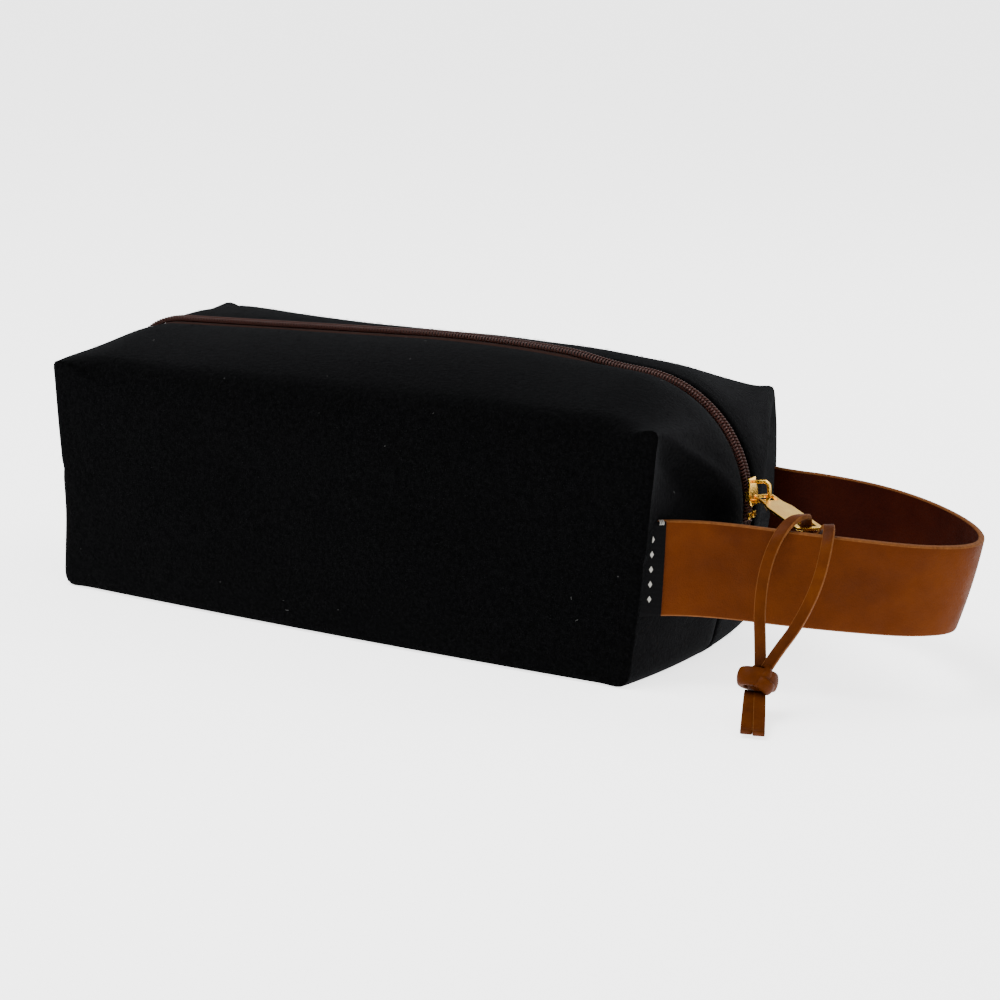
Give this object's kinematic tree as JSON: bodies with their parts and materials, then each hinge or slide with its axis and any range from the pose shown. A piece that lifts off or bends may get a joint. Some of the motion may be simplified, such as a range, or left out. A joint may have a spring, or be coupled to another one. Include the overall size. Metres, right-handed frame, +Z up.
{
  "type": "zipped toiletry pouch",
  "caption": "Boxed felt toiletry pouch with a coil zip over the top, a brass slider and pull tab with a leather lace, and a leather carry strap at one end.",
  "frame": {"origin": "centre of the flat base, on the surface that the pouch stands on", "axes": "+X along the pouch towards the end with the strap and the closed slider, -Y the side with the label, +Z up"},
  "size_m": [0.3919, 0.1566, 0.1161],
  "materials": {
    "felt": "matt wool felt",
    "lining": "plain woven cotton",
    "zipper_tape": "woven polyester tape",
    "zipper_coil": "satin nylon",
    "brass": "polished",
    "strap_leather": "oiled, satin",
    "lace_leather": "oiled, satin",
    "label_weave": "woven satin",
    "thread": "spun polyester thread"
  },
  "bodies": {
    "bag": {"outer_front_panel": "felt", "outer_back_panel": "felt", "lining_front": "lining", "lining_back": "lining", "zipper_tape_front": "zipper_tape", "zipper_tape_back": "zipper_tape", "zipper_coil_front": "zipper_coil", "zipper_coil_back": "zipper_coil", "zipper_top_stops": "brass", "zipper_bottom_stop": "brass", "carry_strap": "strap_leather", "woven_label": "label_weave", "zipper_thread_front": "thread", "zipper_thread_back": "thread", "end_seam_thread": "thread", "base_seam_thread": "thread", "corner_seam_thread": "thread"},
    "slider": {"slider_body": "brass", "slider_bridge": "brass"},
    "tab": {"pull_tab": "brass"},
    "lace": {"lace_strand_left": "lace_leather", "lace_strand_right": "lace_leather", "lace_knot": "lace_leather", "lace_tails": "lace_leather"}
  },
  "joints": [
    {"name": "slider_travel", "type": "hinge", "parent": "bag", "child": "slider", "pos_m": [0.1, 0, 0.06168], "axis": [0, -1, 0], "range_deg": [0, 72]},
    {"name": "tab_lift", "type": "hinge", "parent": "slider", "child": "tab", "pos_m": [0.1561, 0, 0.06864], "axis": [-0.6665, -0.7455, 0], "range_deg": [0, 80]},
    {"name": "lace_swing", "type": "hinge", "parent": "tab", "child": "lace", "pos_m": [0.18657, -0.02724, 0.06543], "axis": [-0.6665, -0.7455, 0], "range_deg": [0, 40]}
  ]
}
